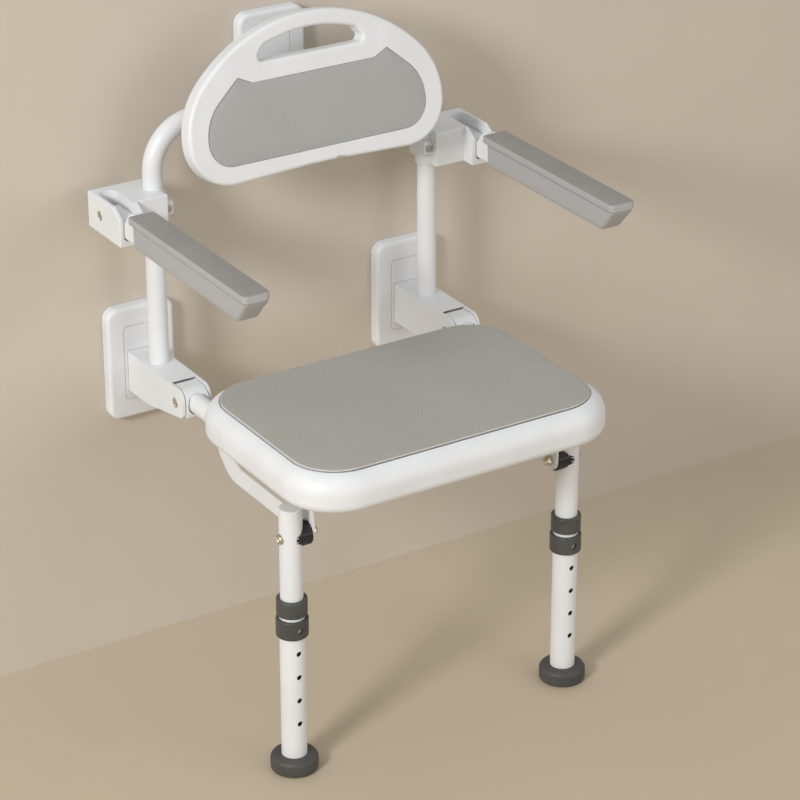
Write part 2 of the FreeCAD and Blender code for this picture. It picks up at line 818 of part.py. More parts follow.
def backrest_shell():
    """Moulded shell: rim, recess for the pad, handle slot, open ribbed back."""
    shell = prism(back_corners(0), front_view(0), V(0, back_depth, 0))
    shell = shell.cut(prism(back_slot_corners(0), front_view(-1), V(0, back_depth + 2, 0)))
    shell = round_edges(shell, back_front_r, edges_at_y(0))
    shell = round_edges(shell, back_rear_r, edges_at_y(back_depth))
    hollow_front = back_pad_recess + back_wall
    hollow = prism(back_corners(back_wall), front_view(hollow_front), V(0, back_depth, 0))
    hollow = hollow.cut(prism(back_slot_corners(-back_wall), front_view(0), V(0, 2 * back_depth, 0)))
    for x in (-clip_x, clip_x):
        post = rod(clip_post_r, V(x, 0, clip_post_up), V(x, 2 * back_depth, clip_post_up))
        hollow = hollow.cut(post)
    for x in (-back_rib_outer_x, -back_rib_inner_x, back_rib_inner_x, back_rib_outer_x):
        hollow = hollow.cut(block(x - back_rib_half, x + back_rib_half, 0, back_depth - back_rib_gap,
                                  -back_low_drop, back_peak_up))
    recess = prism(back_pad_corners(-cover_gap), front_view(-1), V(0, 1 + back_pad_recess, 0))
    shell = shell.cut(hollow).cut(recess)
    for x in (-clip_x, clip_x):
        shell = shell.cut(rod(back_screw_head_r + cover_gap, V(x, 0, clip_post_up),
                              V(x, back_screw_seat, clip_post_up)))
        shell = shell.cut(rod(back_screw_r, V(x, 0, clip_post_up), V(x, back_depth + 1, clip_post_up)))
    return lean_back(shell)


def backrest_pad():
    """Soft pad in the shell's recess, slightly crowned towards the sitter."""
    pad = prism(back_pad_corners(0), front_view(back_pad_sink - back_pad_crown),
                V(0, back_pad_recess - back_pad_sink + back_pad_crown, 0))
    radius = (back_pad_half_width ** 2 + back_pad_crown ** 2) / (2 * back_pad_crown)
    ball = Part.makeSphere(radius, V(0, back_pad_sink - back_pad_crown + radius, 0))
    return lean_back(pad.common(ball))


def backrest_clip():
    """Clip with a collar round the bar and a foot on the back of the shell."""
    collar_r = frame_tube_r + clip_ring_wall
    centre = V(clip_x, -upright_out, bar_height)
    ring = rod(collar_r, centre.add(V(-clip_half_width, 0, 0)), centre.add(V(clip_half_width, 0, 0)))
    foot = block(clip_x - clip_half_width, clip_x + clip_half_width, 0, back_out,
                 clip_post_up - collar_r, clip_post_up + collar_r)
    foot = lean_back(foot.cut(block(-back_half_width, back_half_width, -1, back_depth,
                                    -back_peak_up, back_peak_up)))
    reach = block(clip_x - clip_half_width, clip_x + clip_half_width, -back_out, -upright_out,
                  bar_height - back_out, bar_height + back_out)
    clip = foot.common(reach).fuse(ring)
    clip = clip.cut(rod(frame_tube_r, centre.add(V(-clip_half_width - 1, 0, 0)),
                        centre.add(V(clip_half_width + 1, 0, 0))))
    start = V(clip_x, back_screw_seat, clip_post_up)
    end = V(clip_x, back_screw_end, clip_post_up)
    return clip.cut(lean_back(rod(back_screw_r, start, end))).removeSplitter()


def seat_tube():
    side = tube(frame_tube_r, frame_tube_r - frame_tube_wall,
                V(upright_x, -seat_tube_end_out, seat_tube_height),
                V(upright_x, -seat_tube_start_out, seat_tube_height))
    for out in (saddle_rear_out, saddle_front_out):
        side = side.cut(rod(seat_screw_r, V(upright_x, -out, shell_bottom),
                            V(upright_x, -out, shell_top)))
    return side


def cross_tube(out):
    """Tube between the side tubes, coped to fit their round sides."""
    bar = tube(cross_tube_r, cross_tube_r - frame_tube_wall,
               V(-upright_x, -out, seat_tube_height), V(upright_x, -out, seat_tube_height))
    for side in (-1, 1):
        bar = bar.cut(rod(frame_tube_r, V(side * upright_x, -shell_front_out, seat_tube_height),
                          V(side * upright_x, 0, seat_tube_height)))
    return bar


def side_rail():
    """Flat plate that hangs from both cross tubes and carries the leg's bolt."""
    eye_top = seat_tube_height + cross_tube_r + rail_eye_wall
    rear = -rear_cross_out
    front = -front_cross_out
    profile = [
        (rear + rail_eye_half, eye_top, rail_eye_r),
        (rear + rail_eye_half, shell_bottom - rail_shoulder_drop, rail_shoulder_r),
        (-rail_heel_out, rail_low + rail_heel_rise, rail_heel_r),
        (-rail_heel_out - rail_heel_run, rail_low, rail_knee_r),
        (-leg_out - rail_nose, rail_low, rail_nose_r),
        (-leg_out - rail_nose, rail_high + rail_nose_rise, rail_nose_r),
        (front - rail_eye_half, eye_top, rail_eye_r),
        (front + rail_eye_half, eye_top, rail_eye_r),
        (front + rail_neck, rail_high, rail_neck_r),
        (-rail_heel_out - rail_inner_run, rail_high, rail_inner_r),
        (-rail_heel_out - rail_inner_step, rail_high + rail_inner_step, rail_inner_step_r),
        (rear - rail_eye_half, eye_top, rail_neck_r),
    ]
    rail = prism(profile, side_view(rail_inner_x), V(rail_thickness, 0, 0))
    for out in (rear_cross_out, front_cross_out):
        rail = rail.cut(rod(cross_tube_r, V(0, -out, seat_tube_height),
                            V(leg_x, -out, seat_tube_height)))
    return rail.cut(rod(leg_bolt_r, V(0, -leg_out, leg_pivot_height),
                        V(leg_x, -leg_out, leg_pivot_height)))


def seat_shell():
    """Moulded shell: crowned rim, recess for the pad, open below, four saddles on the tubes."""
    outline = rectangle(-shell_half_width, shell_half_width,
                        -shell_front_out, -shell_back_out, shell_corner_r)
    height = shell_top - shell_bottom
    shell = prism(outline, top_view(shell_bottom), V(0, 0, height))
    shell = round_edges(shell, shell_top_r, edges_at_z(shell_top))
    shell = round_edges(shell, shell_low_r, edges_at_z(shell_bottom))
    wall = shell_wall
    inner = rectangle(-shell_half_width + wall, shell_half_width - wall,
                      -shell_front_out + wall, -shell_back_out - wall, shell_corner_r - wall)
    ceiling = pad_seat_height - wall
    floor = shell_bottom + wall
    hollow = prism(inner, top_view(floor), V(0, 0, ceiling - floor))
    hollow = round_edges(hollow, shell_top_r - wall, edges_at_z(ceiling))
    hollow = round_edges(hollow, shell_low_r - wall, edges_at_z(floor))
    rim = shell_low_r + shell_lip
    mouth = rectangle(-shell_half_width + rim, shell_half_width - rim,
                      -shell_front_out + rim, -shell_back_out - rim, shell_corner_r - rim)
    hollow = hollow.fuse(prism(mouth, top_view(shell_bottom - 1), V(0, 0, 2 * wall)))
    for side in (-1, 1):
        for out in (saddle_rear_out, saddle_front_out):
            x = side * upright_x
            hollow = hollow.cut(block(x - saddle_half_x, x + saddle_half_x,
                                      -out - saddle_half_y, -out + saddle_half_y,
                                      seat_tube_height, shell_top))
    shell = shell.cut(hollow)
    for side in (-1, 1):
        x = side * upright_x
        shell = shell.cut(rod(frame_tube_r, V(x, -seat_tube_end_out - 1, seat_tube_height),
                              V(x, -shell_back_out + 1, seat_tube_height)))
        shell = shell.cut(block(x - frame_tube_r, x + frame_tube_r,
                                -shell_back_out - rim - 1, -shell_back_out + 1,
                                shell_bottom - 1, seat_tube_height))
        shell = shell.cut(rail_notch(side))
        for out in (saddle_rear_out, saddle_front_out):
            shell = shell.cut(rod(seat_screw_r, V(x, -out, shell_bottom),
                                  V(x, -out, seat_screw_top)))
    recess = prism(pad_outline(-cover_gap), top_view(pad_seat_height), V(0, 0, height))
    return shell.cut(recess)


def rail_notch(side):
    """Room in the shell's lip for the back edge of one side rail."""
    inner, outer = sorted((side * (rail_inner_x - rail_notch_gap), side * (rail_outer_x + rail_notch_gap)))
    back = -rear_cross_out + rail_eye_half + rail_notch_gap
    return block(inner, outer, -rear_cross_out, back, shell_bottom - 1, shell_bottom + 2 * shell_wall)


def pad_outline(inset):
    return rectangle(-pad_half_width + inset, pad_half_width - inset,
                     -pad_front_out + inset, -pad_back_out - inset, pad_corner_r - inset)


def seat_pad():
    """Soft pad with a rolled edge and a low crown."""
    top = pad_edge_height + pad_crown
    pad = prism(pad_outline(0), top_view(pad_seat_height), V(0, 0, top - pad_seat_height + 1))
    middle = -(pad_back_out + pad_front_out) / 2
    pad = pad.common(crown(0, middle, top, pad_half_width, pad_crown))
    rim = [edge for edge in pad.Edges if edge.BoundBox.ZMin > pad_edge_height - 2 * pad_crown
           and edge.BoundBox.ZLength < 2 * pad_crown]
    return pad.makeFillet(pad_edge_r, rim)


def seat_screws():
    """Four screws that hold the shell's saddles on the side tubes."""
    screws = []
    low = seat_screw_low
    for side in (-1, 1):
        for out in (saddle_rear_out, saddle_front_out):
            x = side * upright_x
            shaft = rod(seat_screw_r, V(x, -out, low), V(x, -out, seat_screw_top))
            head = rod(seat_screw_head_r, V(x, -out, low - seat_screw_head_height), V(x, -out, low))
            screws.append(shaft.fuse(head).removeSplitter())
    return Part.makeCompound(screws)


def leg_tube():
    """Upper leg tube with a cross hole for the bolt and a front hole for the button."""
    leg = tube(leg_tube_r, leg_tube_r - leg_tube_wall,
               V(leg_x, -leg_out, leg_tube_bottom), V(leg_x, -leg_out, leg_tube_top))
    leg = leg.cut(rod(leg_bolt_r + running_gap, V(leg_x - 2 * leg_tube_r, -leg_out, leg_pivot_height),
                      V(leg_x + 2 * leg_tube_r, -leg_out, leg_pivot_height)))
    return leg.cut(rod(leg_hole_r, V(leg_x, -leg_out - 2 * leg_tube_r, leg_button_height),
                       V(leg_x, -leg_out, leg_button_height)))


def leg_plug():
    """Cap on the top of the upper tube, with a spigot inside it."""
    cap = rod(leg_tube_r, V(leg_x, -leg_out, leg_tube_top),
              V(leg_x, -leg_out, leg_tube_top + plug_cap_height))
    cap = round_edges(cap, plug_cap_height / 2, edges_at_z(leg_tube_top + plug_cap_height))
    spigot = rod(leg_tube_r - leg_tube_wall, V(leg_x, -leg_out, leg_tube_top - plug_depth),
                 V(leg_x, -leg_out, leg_tube_top))
    return cap.fuse(spigot).removeSplitter()


def leg_bolt():
    """Pivot bolt: pan head outside the leg, shank through the rail."""
    head_face = leg_x + leg_tube_r + body_gap
    shank = rod(leg_bolt_r, V(rail_inner_x - leg_nut_height + 1, -leg_out, leg_pivot_height),
                V(head_face, -leg_out, leg_pivot_height))
    head = rod(leg_bolt_head_r, V(head_face, -leg_out, leg_pivot_height),
               V(head_face + leg_bolt_head_height, -leg_out, leg_pivot_height))
    return shank.fuse(head).removeSplitter()


def leg_nut():
    """Domed cap nut against the rail's inner face."""
    flat = [
        V(rail_inner_x, -leg_out + leg_nut_r * math.cos(math.radians(60 * turn)),
          leg_pivot_height + leg_nut_r * math.sin(math.radians(60 * turn)))
        for turn in range(7)
    ]
    nut = Part.Face(Part.makePolygon(flat)).extrude(V(-leg_nut_height, 0, 0))
    dome_centre = V(rail_inner_x - leg_nut_height, -leg_out, leg_pivot_height)
    dome = Part.makeSphere(leg_nut_r - leg_nut_shoulder, dome_centre)
    bore = rod(leg_bolt_r, V(rail_inner_x - leg_nut_height + 1, -leg_out, leg_pivot_height),
               V(rail_inner_x, -leg_out, leg_pivot_height))
    return nut.fuse(dome).cut(bore).removeSplitter()


def leg_spacer():
    """Round black spacer: a saddle that hugs the leg tube, with ribs round its edge."""
    start = V(rail_outer_x + body_gap, -leg_out, leg_pivot_height)
    end = V(leg_x, -leg_out, leg_pivot_height)
    spacer = rod(saddle_spacer_r, start, end)
    for rib in range(saddle_rib_count):
        turn = 2 * math.pi * (rib + 0.5) / saddle_rib_count
        y = -leg_out + saddle_spacer_r * math.cos(turn)
        z = leg_pivot_height + saddle_spacer_r * math.sin(turn)
        spacer = spacer.cut(rod(saddle_rib_depth, V(start.x, y, z), V(end.x, y, z)))
    spacer = spacer.cut(rod(leg_tube_r, V(leg_x, -leg_out, leg_tube_bottom),
                            V(leg_x, -leg_out, leg_tube_top)))
    return spacer.cut(rod(leg_bolt_r + running_gap, start.sub(V(1, 0, 0)), end))


def leg_extension():
    """Lower leg tube with a row of front holes for the button."""
    leg = tube(extension_r, extension_r - extension_wall,
               V(leg_x, -leg_out, extension_bottom), V(leg_x, -leg_out, extension_top))
    for hole in range(leg_hole_count):
        z = leg_button_height - hole * leg_hole_pitch
        leg = leg.cut(rod(leg_hole_r, V(leg_x, -leg_out - 2 * extension_r, z),
                          V(leg_x, -leg_out, z)))
    return leg


def leg_bush():
    """Collar over the top of the lower tube, which guides the upper tube."""
    centre = V(leg_x, -leg_out, 0)
    bush = rod(bush_r, centre.add(V(0, 0, bush_bottom)), centre.add(V(0, 0, bush_top)))
    for z in (bush_bottom, bush_top):
        bush = round_edges(bush, bush_edge_r, edges_at_z(z))
    bush = bush.cut(rod(extension_r, centre, centre.add(V(0, 0, extension_top))))
    return bush.cut(rod(leg_tube_r + running_gap, centre, centre.add(V(0, 0, bush_top + 1))))


def leg_lock_ring():
    """Ring round the lower tube, with a front hole over the button."""
    centre = V(leg_x, -leg_out, 0)
    ring = rod(ring_r, centre.add(V(0, 0, ring_bottom)), centre.add(V(0, 0, ring_top)))
    for z in (ring_bottom, ring_top):
        ring = round_edges(ring, ring_edge_r, edges_at_z(z))
    ring = ring.cut(rod(extension_r, centre, centre.add(V(0, 0, ring_top + 1))))
    return ring.cut(rod(ring_hole_r, V(leg_x, -leg_out - 2 * ring_r, leg_button_height),
                        V(leg_x, -leg_out, leg_button_height)))


def leg_foot():
    """Rubber foot: a wide tread with a soft shoulder and a socket for the lower tube."""
    centre = V(leg_x, -leg_out, 0)
    foot = rod(foot_r, centre, centre.add(V(0, 0, foot_height)))
    foot = round_edges(foot, foot_low_r, edges_at_z(0))
    foot = round_edges(foot, foot_top_r, edges_at_z(foot_height))
    return foot.cut(rod(extension_r, centre.add(V(0, 0, extension_bottom)),
                        centre.add(V(0, 0, foot_height + 1))))


def snap_spring():
    """Bent strip inside the upper tube with the button that locks the leg's length."""
    inner = leg_tube_r - leg_tube_wall
    front = -leg_out - inner + spring_gap
    back = -leg_out + inner - spring_gap
    low = leg_button_height - spring_drop
    high = leg_button_height + spring_rise
    profile = [
        (front, low, 0),
        (front + spring_strip, low, 0),
        (front + spring_strip, high - spring_bow, spring_bend),
        (-leg_out, high - spring_strip, spring_bend),
        (back - spring_strip, low, 0),
        (back, low, 0),
        (-leg_out + 2 * spring_strip, high, spring_bend),
        (front + spring_bow, high, spring_bend),
        (front, high - spring_bow, spring_bend),
    ]
    strip = prism(profile, side_view(leg_x - spring_width / 2), V(spring_width, 0, 0))
    button = rod(button_r, V(leg_x, -leg_out - button_reach, leg_button_height),
                 V(leg_x, front + spring_strip / 2, leg_button_height))
    button = round_edges(button, button_edge_r, edges_at_y(-leg_out - button_reach))
    return strip.fuse(button).removeSplitter()


def backrest_screws():
    screws = []
    for side in (-1, 1):
        start = V(side * clip_x, back_screw_seat, clip_post_up)
        end = V(side * clip_x, back_screw_end, clip_post_up)
        head_start = V(side * clip_x, back_screw_seat - back_screw_head_height, clip_post_up)
        screw = rod(back_screw_r, start, end).fuse(rod(back_screw_head_r, head_start, start))
        screws.append(lean_back(screw.removeSplitter()))
    return Part.makeCompound(screws)


def clamp_screws():
    return Part.makeCompound([clamp_screw(), mirror(clamp_screw())])


def single_parts():
    low_root = bracket_top - bracket_root_drop
    root_half = bracket_root_drop / 2
    return {
        "wall_plate_top": wall_plate(0, top_cover_height),
        "wall_cover_top": wall_cover(0, top_cover_height, bar_height - root_half,
                                     bar_height + root_half),
        "wall_plate_right": wall_plate(upright_x, low_cover_height),
        "wall_cover_right": wall_cover(upright_x, low_cover_height, low_root, bracket_top),
        "wall_plate_left": wall_plate(-upright_x, low_cover_height),
        "wall_cover_left": wall_cover(-upright_x, low_cover_height, low_root, bracket_top),
        "u_frame": u_frame(),
        "top_bracket": top_bracket(),
        "clamp_screws": clamp_screws(),
        "backrest_shell": backrest_shell(),
        "backrest_pad": backrest_pad(),
        "backrest_screws": backrest_screws(),
        "seat_cross_rear": cross_tube(rear_cross_out),
        "seat_cross_front": cross_tube(front_cross_out),
        "seat_shell": seat_shell(),
        "seat_pad": seat_pad(),
        "seat_screws": seat_screws(),
    }


PAIRS = {
    "hinge_bracket": hinge_bracket,
    "hinge_pin": hinge_pin,
    "knuckle": knuckle,
    "arm_bracket": arm_bracket,
    "arm_pivot": arm_pivot,
    "arm_core": arm_core,
    "arm_pad": arm_pad,
    "backrest_clip": backrest_clip,
    "seat_tube": seat_tube,
    "side_rail": side_rail,
    "leg_tube": leg_tube,
    "leg_plug": leg_plug,
    "leg_bolt": leg_bolt,
    "leg_nut": leg_nut,
    "leg_spacer": leg_spacer,
    "leg_extension": leg_extension,
    "leg_bush": leg_bush,
    "leg_lock_ring": leg_lock_ring,
    "leg_foot": leg_foot,
    "snap_spring": snap_spring,
}


def main():
    os.makedirs("parts", exist_ok=True)
    shapes = single_parts()
    for name, build in PAIRS.items():
        shape = build()
        shapes[name + "_right"] = shape
        shapes[name + "_left"] = mirror(shape)
    for name, shape in shapes.items():
        shape.exportStep("parts/" + name + ".step")
        print(name, len(shape.Solids), round(shape.Volume / 1000, 2), shape.isValid())


main()
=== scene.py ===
import json
import math

import bmesh
import bpy
import numpy as np
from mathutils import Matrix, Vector


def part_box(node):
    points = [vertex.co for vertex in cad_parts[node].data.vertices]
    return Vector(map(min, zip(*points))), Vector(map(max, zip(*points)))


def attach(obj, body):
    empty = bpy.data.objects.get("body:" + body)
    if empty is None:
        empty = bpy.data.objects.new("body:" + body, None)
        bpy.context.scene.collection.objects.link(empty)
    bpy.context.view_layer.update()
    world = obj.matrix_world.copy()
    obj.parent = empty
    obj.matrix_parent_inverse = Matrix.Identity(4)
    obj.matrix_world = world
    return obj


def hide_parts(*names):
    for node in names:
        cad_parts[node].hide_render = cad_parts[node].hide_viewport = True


# The looks of the fold down wall seat. Everything is in metres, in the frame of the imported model:
# X to the right, Y into the wall, Z up.

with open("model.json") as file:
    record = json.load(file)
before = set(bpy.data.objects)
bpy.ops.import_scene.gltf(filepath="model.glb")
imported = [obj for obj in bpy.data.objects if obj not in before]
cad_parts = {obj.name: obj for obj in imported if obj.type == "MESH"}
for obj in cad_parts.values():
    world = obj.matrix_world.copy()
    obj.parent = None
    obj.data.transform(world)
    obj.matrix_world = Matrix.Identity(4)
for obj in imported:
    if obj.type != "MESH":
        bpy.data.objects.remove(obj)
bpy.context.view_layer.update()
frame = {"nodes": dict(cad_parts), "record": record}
NODES = frame["nodes"]
SIDES = (("left", -1), ("right", 1))

# Colours, linear
WHITE_COAT = (0.77, 0.785, 0.795)
WHITE_COAT_DIM = (0.735, 0.75, 0.76)
WHITE_PLASTIC = (0.77, 0.785, 0.80)
WHITE_PLASTIC_DIM = (0.735, 0.75, 0.765)
SEAT_LIGHT = (0.52, 0.50, 0.45)
SEAT_DARK = (0.25, 0.24, 0.212)
BACK_LIGHT = (0.58, 0.58, 0.575)
BACK_DARK = (0.28, 0.278, 0.272)
# painted highlight: paler colour on the fabric's rolled edges
EDGE_PAINTED_HIGHLIGHT = (0.66, 0.65, 0.63)
ARM_GREY = (0.305, 0.292, 0.275)
ARM_GREY_DIM = (0.275, 0.264, 0.249)
# painted light: paler colour for the armrests' sides, for light falling on them from the side
ARM_FLANK_PAINTED_LIGHT = (0.40, 0.40, 0.405)
DARK_GREY = (0.075, 0.075, 0.070)
DARK_GREY_DIM = (0.055, 0.055, 0.052)
BLACK = (0.018, 0.018, 0.018)
BLACK_DIM = (0.012, 0.012, 0.012)
NICKEL = (0.76, 0.70, 0.60)
NICKEL_DIM = (0.56, 0.50, 0.41)
ZINC = (0.52, 0.52, 0.52)
ZINC_DIM = (0.42, 0.42, 0.42)
WALL = (0.615, 0.545, 0.465)
FLOOR = (0.55, 0.46, 0.335)

# Screws: radius and height of the head, radius of the shank, turn of the cross
HINGE_SCREW = (0.0065, 0.0020, 0.005, 0.5)
ARM_SCREW = (0.0060, 0.0020, 0.004, 0.9)
LEG_SCREW = (0.0065, 0.0036, 0.004, 0.2)
HEAD_RIM = 0.0001

# Pads: thickness at the rim, radius of the rolled edge, crown, grid of the face, step of the outline,
# furthest move in the simulation. The outline's corners are (across, up, radius).
SEAT_PAD = {"thickness": 0.0056, "edge": 0.0026, "crown": 0.0012, "grid": 0.012}
SEAT_STEP = 0.006
SEAT_CAP = 0.0012
SEAT_CORNER_R = 0.058
SEAT_GAP = 0.0007
BACK_PAD = {"thickness": 0.0030, "edge": 0.0014, "crown": 0.0006, "grid": 0.010}
BACK_STEP = 0.005
BACK_CAP = 0.0010
BACK_DEPTH = 0.004
BACK_LEAN = math.atan(0.2)
BACK_ORIGIN = Vector((0, -0.125, 0.750))
BACK_CORNERS = [(0.087, 0.0422, 0.008), (0.1065, 0.0518, 0.003),
                (0.156, 0.008, 0.062), (0.156, -0.0546, 0.033)]
PAD_PRESSURE = 3.0
PAD_FRAMES = 20

# Armrests
LIP_HEIGHT = 0.0095
LIP_STEP = 0.0016
LIP_TOP_R = 0.0018
LIP_LOW_R = 0.0008
LIP_END_R = 0.0012
LIP_FRONT_R = 0.006
LIP_REAR_R = 0.003
BODY_SETBACK = 0.010
BODY_HALF = 0.0162
BODY_TAPER = 0.0008
BODY_LOW_R = 0.006
BODY_REAR_R = 0.003
LEAST_DEPTH = 0.0002
GROOVE_DEPTH = 0.0014
GROOVE_HEIGHT = 0.0010
PROW_BACK = 0.025
PROW_R = 0.009
BROW_BACK = 0.0035
BROW_DROP = 0.005

# Stage, light and camera
FLOOR_HEIGHT = -0.0004
WALL_PLACE = 0.0006
STAGE_REACH = 30.0
LIGHT_TARGET = Vector((0, -0.25, 0.45))
CAMERA_YAW = math.radians(-32.17)
CAMERA_PITCH = math.radians(25.91)
CAMERA_PLACE = (-1.8069, -3.1873, 2.0707)
CAMERA_LENS = 137.85


# Materials


class Surface:
    """A node material in the making, with short calls for the nodes that it uses."""

    def __init__(self, name, constants):
        self.material = bpy.data.materials.new(name)
        self.material.use_nodes = True
        self.tree = self.material.node_tree
        self.shader = self.tree.nodes["Principled BSDF"]
        for key, value in constants.items():
            self.shader.inputs[key].default_value = value
        self.place = self.tree.nodes.new("ShaderNodeTexCoord").outputs["Object"]

    def node(self, kind, inputs=(), **settings):
        made = self.tree.nodes.new(kind)
        for key, value in settings.items():
            setattr(made, key, value)
        for socket, value in inputs:
            self.feed(made.inputs[socket], value)
        return made

    def feed(self, socket, value):
        if isinstance(value, bpy.types.NodeSocket):
            self.tree.links.new(value, socket)
        else:
            socket.default_value = value

    def math(self, operation, first, second=0.0):
        return self.node("ShaderNodeMath", [(0, first), (1, second)], operation=operation).outputs[0]

    def noise(self, scale, detail=2.0):
        inputs = [("Vector", self.place), ("Scale", scale), ("Detail", detail)]
        return self.node("ShaderNodeTexNoise", inputs).outputs["Fac"]

    def span(self, value, low, high, start=0.35, end=0.65):
        inputs = [("Value", value), ("From Min", start), ("From Max", end), ("To Min", low), ("To Max", high)]
        return self.node("ShaderNodeMapRange", inputs).outputs[0]

    def blend(self, share, first, second):
        mixer = self.node("ShaderNodeMix", data_type="RGBA")
        self.feed(mixer.inputs[0], share)
        for socket, color in ((6, first), (7, second)):
            self.feed(mixer.inputs[socket], color if isinstance(color, bpy.types.NodeSocket) else (*color, 1))
        return mixer.outputs[2]

    def bump(self, height, distance, strength=1.0, under=None):
        inputs = [("Height", height), ("Distance", distance), ("Strength", strength)]
        if under is not None:
            inputs.append(("Normal", under))
        return self.node("ShaderNodeBump", inputs).outputs[0]

    def facing(self, direction):
        """How far the surface looks in a direction of the object's own frame, from 1 to -1."""
        normal = self.node("ShaderNodeTexCoord").outputs["Normal"]
        dot = self.node("ShaderNodeVectorMath", [(0, normal), (1, direction)], operation="DOT_PRODUCT")
        return dot.outputs["Value"]

    def soft_edges(self, radius):
        return self.node("ShaderNodeBevel", [("Radius", radius)], samples=6).outputs[0]

    def finish(self, color, roughness, normal):
        self.feed(self.shader.inputs["Base Color"], color)
        self.feed(self.shader.inputs["Roughness"], roughness)
        self.feed(self.shader.inputs["Normal"], normal)
        return self.material


def coated_metal():
    """Satin white powder coat: faint orange peel, slightly uneven gloss, edges that carry thick paint."""
    s = Surface("white_powder_coat", {"Coat Weight": 0.15, "Coat Roughness": 0.25})
    patches = s.noise(14.0, 3.0)
    peel = s.noise(620.0, 1.0)
    color = s.blend(s.span(patches, 0.0, 1.0), WHITE_COAT_DIM, WHITE_COAT)
    normal = s.bump(peel, 0.00004, 1.0, s.soft_edges(0.0012))
    return s.finish(color, s.span(patches, 0.34, 0.42), normal)


def moulded(name, light, dim, roughness, grain, depth, edge, flank=None):
    """Moulded plastic or rubber: fine grain, a little unevenness in colour and gloss.

    With a flank colour, the faces that don't look up have that colour: painted light, the sides lighter than
    the top as the light falls on them from the side.
    """
    s = Surface(name, {"Specular IOR Level": 0.45})
    patches = s.noise(22.0, 3.0)
    fine = s.noise(grain, 2.0)
    color = s.blend(s.span(patches, 0.0, 1.0), dim, light)
    if flank:
        # painted light: faces that don't look up get the lighter flank colour, for light falling on the sides
        color = s.blend(s.span(s.facing((0, 0, 1)), 1.0, 0.0, 0.30, 0.90), color, flank)
    gloss = s.math("ADD", s.span(patches, roughness - 0.04, roughness + 0.04), s.span(fine, -0.02, 0.02))
    normal = s.bump(fine, depth, 1.0, s.soft_edges(edge) if edge else None)
    return s.finish(color, gloss, normal)


def plated(name, light, dim, roughness):
    """Plated steel: fine turning marks and a slightly cloudy tone."""
    s = Surface(name, {"Metallic": 1.0})
    cloud = s.noise(180.0, 3.0)
    scratches = s.noise(2600.0, 1.0)
    color = s.blend(s.span(cloud, 0.0, 1.0), dim, light)
    gloss = s.span(scratches, roughness - 0.06, roughness + 0.10)
    return s.finish(color, gloss, s.bump(scratches, 0.00002))


def woven(name, light, dark, across, along, face, pitch, twill, sheen):
    """Woven face fabric. The threads cross in the plane of the two given directions.

    The weft passes over the warp in a plain weave, or in steps that form diagonal lines in a twill.
    Where the fabric turns away from the given face, over the pad's edge, it is paler: a painted highlight on
    the rolled edge.
    """
    s = Surface(name, {"Sheen Weight": sheen, "Sheen Roughness": 0.5, "Specular IOR Level": 0.25})

    def reading(direction):
        """Threads counted along a direction, from so far outside that the count is never negative."""
        dot = s.node("ShaderNodeVectorMath", [(0, s.place), (1, direction)], operation="DOT_PRODUCT")
        return s.math("ADD", s.math("MULTIPLY", dot.outputs["Value"], 1.0 / pitch), 200.0)

    wobble = s.math("MULTIPLY", s.math("SUBTRACT", s.noise(90.0, 2.0), 0.5), 0.5)
    u = s.math("ADD", reading(across), wobble)
    v = s.math("ADD", reading(along), wobble)
    step = 0.25 if twill else 0.5
    turn = 2 * math.pi

    def thread(cross, run):
        """Height of one set of threads: round in section, rising and falling along its run."""
        profile = s.math("ABSOLUTE", s.math("SINE", s.math("MULTIPLY", cross, math.pi)))
        count = s.math("MULTIPLY", s.math("FLOOR", cross), step)
        phase = s.math("ADD", s.math("MULTIPLY", run, step), count)
        lift = s.math("MULTIPLY", s.math("ADD", s.math("SINE", s.math("MULTIPLY", phase, turn)), 1.0), 0.5)
        return s.math("MULTIPLY", profile, s.math("ADD", s.math("MULTIPLY", lift, 0.7), 0.3))

    warp = thread(u, v)
    weft = thread(v, s.math("ADD", u, 1.0 / step / 2))
    height = s.math("MAXIMUM", warp, weft)
    fuzz = s.noise(2400.0, 1.0)
    share = s.math("ADD", s.math("MULTIPLY", height, 0.8), s.math("MULTIPLY", fuzz, 0.25))
    shade = s.blend(s.span(share, 0.0, 1.0, 0.30, 0.95), dark, light)
    tone = s.noise(9.0, 3.0)
    muted = s.blend(s.span(tone, 0.0, 0.12), shade, dark)
    # painted highlight: paler where the fabric rolls over the pad's edge
    with_painted_highlight = s.blend(s.span(s.facing(face), 0.8, 0.0, 0.55, 0.97), muted, EDGE_PAINTED_HIGHLIGHT)
    return s.finish(with_painted_highlight, s.span(fuzz, 0.78, 0.92), s.bump(share, 0.0005, 0.8))


def stage_material(name, color):
    s = Surface(name, {"Specular IOR Level": 0.2})
    grain = s.noise(3.0, 4.0)
    dim = tuple(0.97 * channel for channel in color)
    tone = s.blend(s.span(grain, 0.0, 1.0), dim, color)
    return s, tone


COAT = coated_metal()
PLASTIC = moulded("white_plastic", WHITE_PLASTIC, WHITE_PLASTIC_DIM,
                  roughness=0.46, grain=1500.0, depth=0.00002, edge=0.0008)
ARM_SKIN = moulded("grey_arm_rubber", ARM_GREY, ARM_GREY_DIM,
                   roughness=0.46, grain=1900.0, depth=0.00006, edge=0.0, flank=ARM_FLANK_PAINTED_LIGHT)
COLLAR = moulded("dark_grey_plastic", DARK_GREY, DARK_GREY_DIM,
                 roughness=0.42, grain=1700.0, depth=0.00004, edge=0.0006)
RUBBER = moulded("dark_grey_rubber", DARK_GREY, DARK_GREY_DIM,
                 roughness=0.55, grain=1300.0, depth=0.00006, edge=0.0)
SPACER = moulded("black_plastic", BLACK, BLACK_DIM,
                 roughness=0.40, grain=1500.0, depth=0.00004, edge=0.0006)
SCREW = plated("plated_steel", NICKEL, NICKEL_DIM, roughness=0.28)
